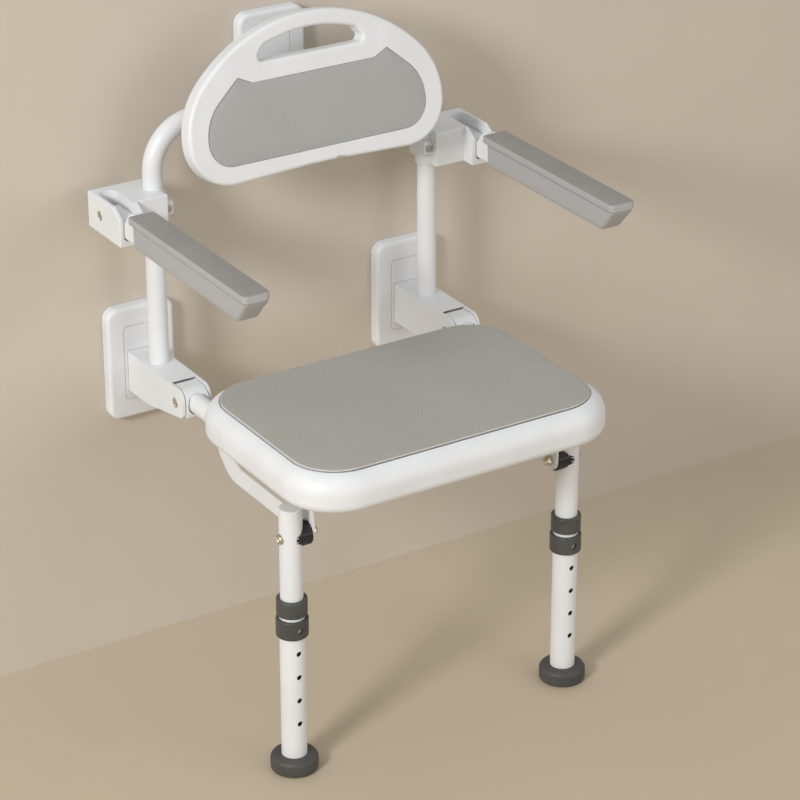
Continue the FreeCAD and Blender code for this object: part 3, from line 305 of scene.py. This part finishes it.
PLATE = plated("galvanised_steel", ZINC, ZINC_DIM, roughness=0.38)
SPRING = plated("spring_steel", ZINC, ZINC_DIM, roughness=0.24)

SLOT_MATERIALS = {
    "white_powder_coat": COAT,
    "white_plastic": PLASTIC,
    "grey_arm_rubber": ARM_SKIN,
    "dark_grey_plastic": COLLAR,
    "dark_grey_rubber": RUBBER,
    "black_plastic": SPACER,
    "plated_steel": SCREW,
    "galvanised_steel": PLATE,
    "spring_steel": SPRING,
}


def dress_frame():
    """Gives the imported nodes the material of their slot, apart from the soft pads, which are replaced.

    The lock screws in the arm brackets' lugs show paler than the other screws.
    """
    for part in frame["record"]["subparts"]:
        material = SLOT_MATERIALS.get(part["material_slot"])
        if material is None:
            continue
        if part["node"] == "clamp_screws":
            material = PLATE
        mesh = NODES[part["node"]].data
        mesh.materials.clear()
        mesh.materials.append(material)


# Pieces


def add_piece(name, vertices, faces, material, body, slot, replaced):
    """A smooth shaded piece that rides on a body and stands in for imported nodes."""
    mesh = bpy.data.meshes.new(name)
    mesh.from_pydata([tuple(v) for v in vertices], [], faces)
    mesh.validate()
    piece = bpy.data.objects.new(name, mesh)
    bpy.context.scene.collection.objects.link(piece)
    mesh.materials.append(material)
    for polygon in mesh.polygons:
        polygon.use_smooth = True
    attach(piece, body)
    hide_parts(*replaced)
    return piece


def face_outwards(piece):
    mesh = bmesh.new()
    mesh.from_mesh(piece.data)
    bmesh.ops.recalc_face_normals(mesh, faces=mesh.faces)
    mesh.to_mesh(piece.data)
    mesh.free()


def revolve(rings, centre, axis, count=48):
    """Vertices and faces of a turned body through rings of (distance along the axis, radius)."""
    axis = Vector(axis).normalized()
    side = axis.orthogonal().normalized()
    other = axis.cross(side)
    vertices, faces = [], []
    for along, radius in rings:
        for step in range(count):
            turn = 2 * math.pi * step / count
            vertices.append(Vector(centre) + axis * along
                            + (side * math.cos(turn) + other * math.sin(turn)) * radius)
    for ring in range(len(rings) - 1):
        for step in range(count):
            a = ring * count + step
            b = ring * count + (step + 1) % count
            faces.append((a, b, b + count, a + count))
    faces.append(tuple(reversed(range(count))))
    faces.append(tuple(range((len(rings) - 1) * count, len(rings) * count)))
    return vertices, faces


def cross_screw_head(centre, axis, radius, height, turn):
    """A low domed head with a cross recess, drawn as rings whose inner part sinks into the cross."""
    axis = Vector(axis).normalized()
    side = axis.orthogonal().normalized()
    other = axis.cross(side)
    rings, count = 22, 72
    arm_half, arm_length, depth = 0.16 * radius, 0.62 * radius, 0.85 * height

    def sunk(u, v):
        def bar(run, across):
            reach = max(0.0, 1 - (abs(run) / arm_length) ** 3)
            edge = min(1.0, max(0.0, (arm_half * (0.6 + 0.4 * reach) - abs(across)) / (0.3 * arm_half)))
            return reach * edge
        return max(bar(u, v), bar(v, u))

    vertices, faces = [Vector(centre) + axis * (height - depth)], []
    for ring in range(1, rings + 1):
        r = radius * (ring / rings) ** 0.8
        rise = height * (1 - (r / radius) ** 5) ** 0.5 if ring < rings else 0.0
        for step in range(count):
            angle = 2 * math.pi * step / count
            u, v = r * math.cos(angle), r * math.sin(angle)
            up = rise - depth * sunk(u, v)
            tilt = angle + turn
            vertices.append(Vector(centre) + axis * up
                            + (side * math.cos(tilt) + other * math.sin(tilt)) * r)
    for step in range(count):
        faces.append((0, 1 + step, 1 + (step + 1) % count))
    for ring in range(rings - 1):
        for step in range(count):
            a = 1 + ring * count + step
            b = 1 + ring * count + (step + 1) % count
            faces.append((a, a + count, b + count, b))
    return vertices, faces


def joined(*parts):
    vertices, faces = [], []
    for more_vertices, more_faces in parts:
        start = len(vertices)
        vertices.extend(more_vertices)
        faces.extend(tuple(start + i for i in face) for face in more_faces)
    return vertices, faces


def add_hinge_screws(side, sign):
    """The hinge pin: a shank with a cross headed screw at both ends."""
    radius, height, shank, turn = HINGE_SCREW
    low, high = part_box("hinge_pin_" + side)
    middle = (low + high) / 2
    parts = []
    for end, outward in ((high.x, 1), (low.x, -1)):
        head = Vector((end - outward * height, middle.y, middle.z))
        parts.append(cross_screw_head(head, (outward, 0, 0), radius, height, turn * sign))
    start = Vector((low.x + height, middle.y, middle.z))
    length = high.x - low.x - 2 * height
    rings = [(0, radius), (HEAD_RIM, radius), (2 * HEAD_RIM, shank), (length - 2 * HEAD_RIM, shank),
             (length - HEAD_RIM, radius), (length, radius)]
    parts.append(revolve(rings, start, (1, 0, 0)))
    face_outwards(add_piece("hinge_screws_" + side, *joined(*parts), SCREW, "wall_frame", "plated_steel",
                            ["hinge_pin_" + side]))


def add_pivot_screw(name, node, sign, body, screw):
    """A pivot with one cross headed screw, on its outer end."""
    radius, height, shank, turn = screw
    low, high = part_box(node)
    middle = (low + high) / 2
    outer, inner = (high.x, low.x) if sign > 0 else (low.x, high.x)
    head = Vector((outer - sign * height, middle.y, middle.z))
    rings = [(0, radius), (HEAD_RIM, radius), (2 * HEAD_RIM, shank), (abs(head.x - inner), shank)]
    parts = [cross_screw_head(head, (sign, 0, 0), radius, height, turn), revolve(rings, head, (-sign, 0, 0))]
    face_outwards(add_piece(name, *joined(*parts), SCREW, body, "plated_steel", [node]))


def add_pins():
    for side, sign in SIDES:
        add_hinge_screws(side, sign)
        add_pivot_screw("arm_pivot_screw_" + side, "arm_pivot_" + side, sign, "wall_frame", ARM_SCREW)
        add_pivot_screw("leg_pivot_screw_" + side, "leg_bolt_" + side, sign, "seat", LEG_SCREW)


# Soft pads


def rounded_outline(corners, step):
    """Points about one step apart along an outline of (across, up, radius) corners, in order."""
    points = []
    count = len(corners)
    for index, (across, up, radius) in enumerate(corners):
        corner = Vector((across, up))
        before = (Vector(corners[index - 1][:2]) - corner).normalized()
        after = (Vector(corners[(index + 1) % count][:2]) - corner).normalized()
        half = before.angle(after) / 2
        reach = radius / math.tan(half)
        centre = corner + (before + after).normalized() * (radius / math.sin(half))
        start, end = corner + before * reach, corner + after * reach
        first = start - centre
        sweep = first.angle_signed(end - centre) if radius > 0 else 0
        steps = max(2, round(radius * abs(sweep) / step))
        for k in range(steps + 1):
            angle = -sweep * k / steps
            turned = Vector((first.x * math.cos(angle) - first.y * math.sin(angle),
                             first.x * math.sin(angle) + first.y * math.cos(angle)))
            points.append(centre + turned)
    even = []
    for index, point in enumerate(points):
        following = points[(index + 1) % len(points)]
        length = (following - point).length
        if length < 1e-6:
            continue
        pieces = max(1, round(length / step))
        even.extend(point.lerp(following, k / pieces) for k in range(pieces))
    return even


def inset_outline(points, inset):
    """The same number of points, moved inwards along the outline's own normals."""
    moved = []
    count = len(points)
    area = sum(points[i - 1].x * points[i].y - points[i].x * points[i - 1].y for i in range(count))
    hand = 1 if area > 0 else -1
    for index, point in enumerate(points):
        run = (points[(index + 1) % count] - points[index - 1]).normalized()
        moved.append(point + Vector((-run.y, run.x)) * hand * inset)
    return moved


def pad_mesh(points, thickness, edge, crown, grid):
    """A closed pad: rings that roll over the edge, a gridded face and a flat back at height 0.

    The face rises by the crown towards the middle, as a foam pad pressed at its rim does.
    """
    lows = np.array([p[:] for p in points]).min(0)
    highs = np.array([p[:] for p in points]).max(0)
    middle, half = (lows + highs) / 2, (highs - lows) / 2

    def swell(x, y):
        u = min(1.0, abs((x - middle[0]) / half[0]))
        v = min(1.0, abs((y - middle[1]) / half[1]))
        return crown * (1 - u ** 2.6) * (1 - v ** 2.6)

    rings = [(0.0, 0.0), (0.0, thickness - edge)]
    for k in range(1, 7):
        turn = math.pi / 2 * k / 6
        rings.append((edge * (1 - math.cos(turn)), thickness - edge + edge * math.sin(turn)))
    mesh = bmesh.new()
    loops = []
    for inset, up in rings:
        loops.append([
            mesh.verts.new((p.x, p.y, up + (swell(p.x, p.y) if up > 0 else 0)))
            for p in inset_outline(points, inset)
        ])
    count = len(points)
    for lower, upper in zip(loops, loops[1:]):
        for k in range(count):
            mesh.faces.new((lower[k], lower[(k + 1) % count], upper[(k + 1) % count], upper[k]))
    mesh.faces.new(list(reversed(loops[0])))
    mesh.faces.new(loops[-1])
    rim = set(loops[-1])
    for axis in (0, 1):
        value = lows[axis] + grid / 2
        while value < highs[axis]:
            flat = [f for f in mesh.faces if all(v in rim or v.co.z >= thickness * 0.99 for v in f.verts)]
            parts = flat + list({e for f in flat for e in f.edges}) + list({v for f in flat for v in f.verts})
            plane = Vector((0, 0, 0))
            plane[axis] = value
            normal = Vector((0, 0, 0))
            normal[axis] = 1
            bmesh.ops.bisect_plane(mesh, geom=parts, plane_co=plane, plane_no=normal)
            value += grid
    for v in mesh.verts:
        if v.co.z >= thickness * 0.99 and v not in rim:
            v.co.z = thickness + swell(v.co.x, v.co.y)
    bmesh.ops.recalc_face_normals(mesh, faces=mesh.faces)
    return mesh


def inflate(piece, free, cap):
    """Runs a short cloth simulation with air pressure, in which only the free vertices move.

    Each of them moves by the cap at most. The result is written into the mesh.
    """
    rest = np.array([v.co[:] for v in piece.data.vertices])
    pinned = piece.vertex_groups.new(name="held")
    pinned.add([i for i in range(len(rest)) if i not in free], 1.0, "REPLACE")
    cloth = piece.modifiers.new("cloth", "CLOTH")
    settings = cloth.settings
    settings.quality = 5
    settings.mass = 0.25
    settings.tension_stiffness = settings.compression_stiffness = 25
    settings.shear_stiffness = 12
    settings.bending_stiffness = 0.6
    settings.use_pressure = True
    settings.uniform_pressure_force = PAD_PRESSURE
    settings.vertex_group_mass = pinned.name
    settings.effector_weights.gravity = 0.0
    cloth.collision_settings.use_collision = False
    scene = bpy.context.scene
    cloth.point_cache.frame_start, cloth.point_cache.frame_end = 1, PAD_FRAMES
    for step in range(1, PAD_FRAMES + 1):
        scene.frame_set(step)
    evaluated = piece.evaluated_get(bpy.context.evaluated_depsgraph_get())
    puffed = np.array([v.co[:] for v in evaluated.data.vertices])
    piece.modifiers.remove(cloth)
    piece.vertex_groups.remove(pinned)
    scene.frame_set(1)
    shift = puffed - rest
    length = np.linalg.norm(shift, axis=1, keepdims=True)
    shift *= cap * np.tanh(length / cap) / np.maximum(length, 1e-9)
    for vertex, place in zip(piece.data.vertices, rest + shift):
        vertex.co = place


def add_pad(name, mesh, place, material, body, replaced, cap):
    """Turns a drawn pad into a piece: simulated and put in its place."""
    data = bpy.data.meshes.new(name)
    mesh.to_mesh(data)
    mesh.free()
    piece = bpy.data.objects.new(name, data)
    bpy.context.scene.collection.objects.link(piece)
    top = max(v.co.z for v in data.vertices)
    edge_height = np.percentile([v.co.z for v in data.vertices], 30)
    free = {v.index for v in data.vertices if v.co.z > min(edge_height, top * 0.9)}
    inflate(piece, free, cap)
    for vertex in data.vertices:
        vertex.co = place(vertex.co)
    for polygon in data.polygons:
        polygon.use_smooth = True
    data.materials.append(material)
    refined = piece.modifiers.new("smooth", "SUBSURF")
    refined.levels = refined.render_levels = 1
    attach(piece, body)
    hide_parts(replaced)


def add_seat_pad():
    low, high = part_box("seat_pad")
    places = ((low.x, low.y), (high.x, low.y), (high.x, high.y), (low.x, high.y))
    corners = [(x, y, SEAT_CORNER_R) for x, y in places]
    outline = inset_outline(rounded_outline(corners, SEAT_STEP), SEAT_GAP)
    mesh = pad_mesh(outline, **SEAT_PAD)
    fabric = woven("seat_fabric", SEAT_LIGHT, SEAT_DARK, (1, 0, 0), (0, 1, 0), (0, 0, 1),
                   pitch=0.0030, twill=False, sheen=0.15)
    add_pad("seat_cushion", mesh, lambda p: Vector((p.x, p.y, p.z + low.z)), fabric,
            "seat", "seat_pad", SEAT_CAP)


def add_back_pad():
    """The backrest's pad, drawn flat and leant back with the shell."""
    right = Vector((1, 0, 0))
    up = Vector((0, math.sin(BACK_LEAN), math.cos(BACK_LEAN)))
    outward = Vector((0, -math.cos(BACK_LEAN), math.sin(BACK_LEAN)))
    corners = BACK_CORNERS + [(-x, y, r) for x, y, r in reversed(BACK_CORNERS)]
    mesh = pad_mesh(rounded_outline(corners, BACK_STEP), **BACK_PAD)
    fabric = woven("back_fabric", BACK_LIGHT, BACK_DARK, tuple((right + up).normalized()),
                   tuple((right - up).normalized()), tuple(outward), pitch=0.0021, twill=True, sheen=0.12)

    def place(p):
        return BACK_ORIGIN + right * p.x + up * p.y + outward * (p.z - BACK_DEPTH)
    add_pad("backrest_cushion", mesh, place, fabric, "wall_frame", "backrest_pad", BACK_CAP)


# Armrests


def keel_line(length, depth):
    """The underside of the armrest's body along its length: brow, raked prow, flat keel.

    Distances from the front end, and the depth below the lip at each of them.
    """
    rear = length - BODY_SETBACK
    above = 0.001
    corners = [(LIP_STEP, above, 0), (BROW_BACK, -BROW_DROP, PROW_R), (PROW_BACK, -depth, PROW_R),
               (rear, -depth, BODY_REAR_R), (rear, above, 0)]
    points = [p for p in rounded_outline(corners, 0.0006) if p.y < 0.0]
    points.sort(key=lambda p: p.x)
    return np.array([p.x for p in points]), np.array([-p.y for p in points])


def quarter(radius, gap):
    """How far a rounded corner draws in at a distance from the end face."""
    return radius - math.sqrt(max(0.0, radius ** 2 - (radius - gap) ** 2)) if gap < radius else 0.0


def arm_section(end, box_low, box_high, keel):
    """One section across the armrest at a distance from its front end."""
    middle = (box_low.x + box_high.x) / 2
    length = box_high.y - box_low.y
    full_depth = box_high.z - box_low.z - LIP_HEIGHT
    start = length - end
    lip_half = (box_high.x - box_low.x) / 2 - quarter(LIP_FRONT_R, end) - quarter(LIP_REAR_R, start)
    top = box_high.z - quarter(LIP_END_R, end) - quarter(LIP_END_R, start)
    lip_low = box_high.z - LIP_HEIGHT
    depth = LEAST_DEPTH
    if LIP_STEP < end < length - BODY_SETBACK:
        depth = max(depth, float(np.interp(end, *keel)))
    body_half = min(BODY_HALF, lip_half - LIP_STEP)
    low_half = body_half - BODY_TAPER * depth / full_depth
    groove = min(GROOVE_HEIGHT, 0.2 * depth)
    curve = min(BODY_LOW_R, 0.45 * depth)
    flank = depth - curve

    def turns(steps):
        return [math.pi / 2 * k / steps for k in range(steps + 1)]

    half = [(lip_half - LIP_TOP_R * (1 - math.sin(a)), top - LIP_TOP_R * (1 - math.cos(a))) for a in turns(4)]
    half += [(lip_half - LIP_LOW_R * (1 - math.cos(a)), lip_low + LIP_LOW_R * (1 - math.sin(a)))
             for a in turns(3)]
    half += [(body_half - GROOVE_DEPTH, lip_low - 0.0001), (body_half - GROOVE_DEPTH, lip_low - groove),
             (body_half, lip_low - 1.4 * groove),
             (body_half - BODY_TAPER * flank / full_depth * 0.5, lip_low - flank * 0.6)]
    half += [(low_half - curve * (1 - math.cos(a)), lip_low - depth + curve * (1 - math.sin(a)))
             for a in turns(5)]
    points = [(0.0, top)] + half + [(0.0, lip_low - depth)]
    mirrored = [(-x, z) for x, z in reversed(points[1:-1])]
    return [Vector((middle + x, box_low.y + end, z)) for x, z in points + mirrored]


def add_arm_pads():
    """The armrests' pads, drawn as sections from the front end to the rear."""
    for side, _ in SIDES:
        low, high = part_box("arm_pad_" + side)
        length = high.y - low.y
        keel = keel_line(length, high.z - low.z - LIP_HEIGHT)
        rear = length - BODY_SETBACK
        stations = [0.0, 0.0002, 0.0006, 0.0012, 0.00159, 0.0018, 0.0024, 0.0032, 0.0042, 0.0054, 0.007,
                    0.009, 0.012, 0.015, 0.018, 0.0205, 0.0225, 0.0245, 0.0265, 0.029, 0.032, 0.10, 0.20,
                    rear - 0.0032, rear - 0.0022, rear - 0.0012, rear - 0.0004, rear - 0.0001, rear,
                    length - 0.003, length - 0.0018, length - 0.0008, length - 0.0002, length]
        sections = [arm_section(s, low, high, keel) for s in stations]
        count = len(sections[0])
        vertices = [p for section in sections for p in section]
        faces = []
        for row in range(len(sections) - 1):
            for k in range(count):
                a, b = row * count + k, row * count + (k + 1) % count
                faces.append((a, b, b + count, a + count))
        faces.append(tuple(reversed(range(count))))
        faces.append(tuple(range((len(sections) - 1) * count, len(sections) * count)))
        piece = add_piece("armrest_pad_" + side, vertices, faces, ARM_SKIN, "armrest_" + side,
                          "grey_arm_rubber", ["arm_pad_" + side])
        face_outwards(piece)
        piece.data.set_sharp_from_angle(angle=math.radians(35))


# Stage, light and camera


def add_stage():
    """A plain floor and a plain wall, which lets light and view through from behind."""
    floor_surface, floor_tone = stage_material("floor", FLOOR)
    floor_surface.finish(floor_tone, 0.55, floor_surface.bump(floor_surface.noise(40.0), 0.0001))
    wall_surface, wall_tone = stage_material("wall", WALL)
    wall_surface.finish(wall_tone, 0.8, wall_surface.bump(wall_surface.noise(300.0), 0.0001))
    tree = wall_surface.tree
    behind = wall_surface.node("ShaderNodeNewGeometry").outputs["Backfacing"]
    clear = wall_surface.node("ShaderNodeBsdfTransparent")
    choice = wall_surface.node("ShaderNodeMixShader", [(0, behind)])
    tree.links.new(wall_surface.shader.outputs[0], choice.inputs[1])
    tree.links.new(clear.outputs[0], choice.inputs[2])
    tree.links.new(choice.outputs[0], tree.nodes["Material Output"].inputs["Surface"])

    def plane(name, corners, material):
        mesh = bpy.data.meshes.new(name)
        mesh.from_pydata(corners, [], [(0, 1, 2, 3)])
        mesh.materials.append(material)
        made = bpy.data.objects.new(name, mesh)
        bpy.context.scene.collection.objects.link(made)
        return made

    far = STAGE_REACH
    ends = ((-1, -1), (1, -1), (1, 1), (-1, 1))
    plane("floor", [(far * x, far * y, FLOOR_HEIGHT) for x, y in ends], floor_surface.material)
    wall = plane("wall", [(far * x, WALL_PLACE, FLOOR_HEIGHT if up < 0 else far) for x, up in ends],
                 wall_surface.material)
    wall.visible_diffuse = False
    wall.visible_shadow = False


def add_light(name, place, size, power):
    data = bpy.data.lights.new(name, "AREA")
    data.shape = "DISK"
    data.size = size
    data.energy = power
    light = bpy.data.objects.new(name, data)
    bpy.context.scene.collection.objects.link(light)
    light.location = place
    light.rotation_mode = "QUATERNION"
    light.rotation_quaternion = (light.location - LIGHT_TARGET).to_track_quat("Z", "Y")


def add_lights():
    add_light("key", place=(-3.6, -2.0, 2.4), size=1.0, power=114)
    add_light("fill", place=(1.6, -3.9, 1.5), size=2.4, power=24)
    world = bpy.data.worlds.new("studio")
    bpy.context.scene.world = world
    world.use_nodes = True
    tree = world.node_tree
    ground = tree.nodes["Background"]
    ground.inputs["Color"].default_value = (1.0, 0.993, 0.98, 1)
    ground.inputs["Strength"].default_value = 0.59


def add_camera():
    """The photograph's viewing angle, with a long lens."""
    flat = math.cos(CAMERA_PITCH)
    back = Vector((math.sin(CAMERA_YAW) * flat, -math.cos(CAMERA_YAW) * flat, math.sin(CAMERA_PITCH)))
    data = bpy.data.cameras.new("camera")
    data.sensor_width = 36.0
    data.lens = CAMERA_LENS
    camera = bpy.data.objects.new("camera", data)
    bpy.context.scene.collection.objects.link(camera)
    camera.location = CAMERA_PLACE
    camera.rotation_mode = "QUATERNION"
    camera.rotation_quaternion = back.to_track_quat("Z", "Y")
    bpy.context.scene.camera = camera


add_camera()
dress_frame()
add_pins()
add_seat_pad()
add_back_pad()
add_arm_pads()
add_stage()
add_lights()
bpy.context.scene.view_settings.view_transform = "Standard"
